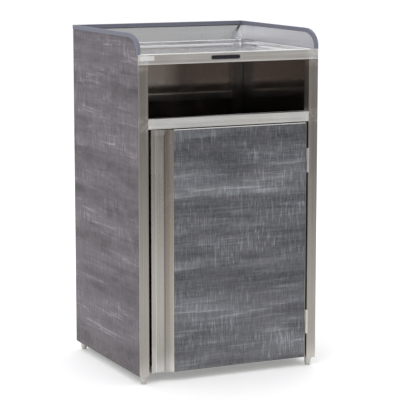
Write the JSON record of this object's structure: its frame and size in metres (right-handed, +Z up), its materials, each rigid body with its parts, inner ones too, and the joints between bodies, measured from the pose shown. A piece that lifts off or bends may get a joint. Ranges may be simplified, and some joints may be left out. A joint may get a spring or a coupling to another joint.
{
  "type": "tray-top waste station cabinet",
  "caption": "Free-standing stainless cabinet with laminate-clad panels, a recessed tray top in a low gallery, an open waste slot, and a hinged door with a full-height recessed pull.",
  "frame": {"origin": "on the floor, under the middle of the closed cabinet's bounding box", "axes": "+Z up, -Y towards the door side, +X to the right seen from the front, on the hinge side"},
  "size_m": [0.6756, 0.5994, 1.185],
  "materials": {
    "brushed_stainless": "vertical or lengthwise brushed grain, satin",
    "frame_stainless": "mill finish, duller than the outside",
    "lining_stainless": "brushed along its length, satin",
    "hardware_stainless": "turned and polished",
    "foot_stainless": "turned, satin",
    "grey_laminate": "matt decorative laminate, weathered grey horizontal grain with woven cross threads",
    "slate_trim": "semi-matt moulded edge",
    "plate_black": "glossy, blank",
    "catch_plastic": "matt moulded",
    "label_white": "printed film, blank",
    "bin_plastic": "lightly textured rotational moulding"
  },
  "bodies": {
    "cabinet": {"back_liner": "brushed_stainless", "back_panel": "grey_laminate", "back_splash": "lining_stainless", "bin_guide": "frame_stainless", "edge_trim_back": "slate_trim", "edge_trim_left": "slate_trim", "edge_trim_right": "slate_trim", "floor_pan": "brushed_stainless", "foot_socket_front_left": "foot_stainless", "foot_socket_front_right": "foot_stainless", "foot_socket_rear_left": "foot_stainless", "foot_socket_rear_right": "foot_stainless", "front_bottom_rail": "frame_stainless", "front_post_left": "brushed_stainless", "front_post_right": "brushed_stainless", "front_top_rail": "frame_stainless", "gallery_liner_left": "lining_stainless", "gallery_liner_right": "lining_stainless", "header_rail": "brushed_stainless", "inner_bin": "bin_plastic", "lower_frame_screw_1": "hardware_stainless", "lower_frame_screw_2": "hardware_stainless", "lower_hinge_frame_leaf": "hardware_stainless", "lower_hinge_pin": "hardware_stainless", "magnetic_catch": "catch_plastic", "name_plate": "plate_black", "notice_label": "label_white", "rear_bottom_rail": "frame_stainless", "rear_mid_rail": "frame_stainless", "rear_post_left": "frame_stainless", "rear_post_right": "frame_stainless", "rear_top_rail": "frame_stainless", "side_bottom_rail_left": "frame_stainless", "side_bottom_rail_right": "frame_stainless", "side_liner_left": "brushed_stainless", "side_liner_right": "brushed_stainless", "side_panel_left": "grey_laminate", "side_panel_right": "grey_laminate", "side_top_rail_left": "frame_stainless", "side_top_rail_right": "frame_stainless", "upper_frame_screw_1": "hardware_stainless", "upper_frame_screw_2": "hardware_stainless", "upper_hinge_frame_leaf": "hardware_stainless", "upper_hinge_pin": "hardware_stainless", "worktop": "brushed_stainless"},
    "door": {"door_pan": "brushed_stainless", "door_pull": "brushed_stainless", "pull_end_cap": "brushed_stainless", "door_laminate": "grey_laminate", "catch_strike": "hardware_stainless", "upper_hinge_door_leaf": "hardware_stainless", "lower_hinge_door_leaf": "hardware_stainless", "upper_door_screw_1": "hardware_stainless", "upper_door_screw_2": "hardware_stainless", "lower_door_screw_1": "hardware_stainless", "lower_door_screw_2": "hardware_stainless"},
    "leveller_front_left": {"foot_front_left": "foot_stainless"},
    "leveller_front_right": {"foot_front_right": "foot_stainless"},
    "leveller_rear_left": {"foot_rear_left": "foot_stainless"},
    "leveller_rear_right": {"foot_rear_right": "foot_stainless"}
  },
  "joints": [
    {"name": "door_hinge", "type": "hinge", "parent": "cabinet", "child": "door", "pos_m": [0.29775, -0.29515, 0.45], "axis": [0, 0, 1], "range_deg": [0, 170]},
    {"name": "level_front_left", "type": "slide", "parent": "cabinet", "child": "leveller_front_left", "axis": [0, 0, -1], "range_m": [0, 0.025]},
    {"name": "level_front_right", "type": "slide", "parent": "cabinet", "child": "leveller_front_right", "axis": [0, 0, -1], "range_m": [0, 0.025]},
    {"name": "level_rear_left", "type": "slide", "parent": "cabinet", "child": "leveller_rear_left", "axis": [0, 0, -1], "range_m": [0, 0.025]},
    {"name": "level_rear_right", "type": "slide", "parent": "cabinet", "child": "leveller_rear_right", "axis": [0, 0, -1], "range_m": [0, 0.025]}
  ]
}
